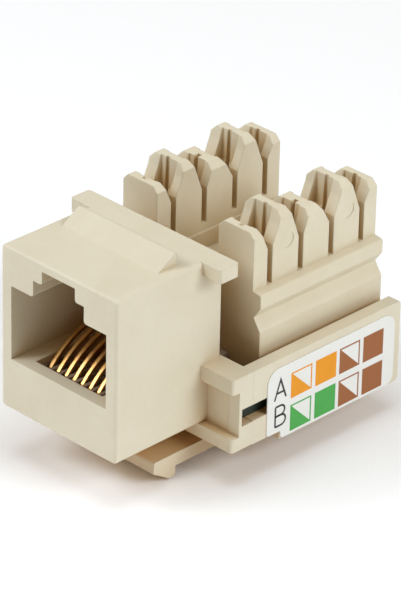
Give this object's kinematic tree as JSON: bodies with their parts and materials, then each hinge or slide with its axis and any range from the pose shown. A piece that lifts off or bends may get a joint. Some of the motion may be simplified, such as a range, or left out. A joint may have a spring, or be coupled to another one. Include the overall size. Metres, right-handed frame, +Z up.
{
  "type": "keystone jack",
  "caption": "Snap-in modular jack: a stepped plug socket with spring contacts in front, rows of pointed insulation-displacement teeth behind, and a sprung panel latch under it.",
  "frame": {"origin": "middle of the panel cut-out, in the plane where the panel's back meets the jack's stops", "axes": "+X across the face, to the right seen from the front; +Y rearward, from the plug face to the terminals; +Z up"},
  "size_m": [0.0228, 0.0317, 0.0233],
  "materials": {
    "housing_plastic": "ivory moulded plastic, fine satin",
    "block_plastic": "ivory moulded plastic, slightly darker, satin",
    "insert_plastic": "dark moulded plastic, dull",
    "gold_plate": "gold-plated spring wire",
    "tinned_bronze": "tin-plated phosphor bronze",
    "board_laminate": "dark green solder mask on glass-epoxy board",
    "label_paper": "white coated sticker with printed colour cells"
  },
  "bodies": {
    "jack_body": {"front_housing": "housing_plastic", "rear_tray": "housing_plastic", "contact_carrier": "insert_plastic", "contact_wire_1": "gold_plate", "contact_wire_2": "gold_plate", "contact_wire_3": "gold_plate", "contact_wire_4": "gold_plate", "contact_wire_5": "gold_plate", "contact_wire_6": "gold_plate", "contact_wire_7": "gold_plate", "contact_wire_8": "gold_plate", "circuit_board": "board_laminate", "idc_block": "block_plastic", "idc_blade_1": "tinned_bronze", "idc_blade_2": "tinned_bronze", "idc_blade_3": "tinned_bronze", "idc_blade_4": "tinned_bronze", "idc_blade_5": "tinned_bronze", "idc_blade_6": "tinned_bronze", "idc_blade_7": "tinned_bronze", "idc_blade_8": "tinned_bronze", "label_right": "label_paper", "label_left": "label_paper"},
    "latch_arm": {"panel_latch": "housing_plastic"}
  },
  "joints": [
    {"name": "latch_flex", "type": "hinge", "parent": "jack_body", "child": "latch_arm", "pos_m": [0, 0.0073, -0.01005], "axis": [-1, 0, 0], "range_deg": [0, 6], "stiffness_Nm_per_rad": 0.01}
  ]
}
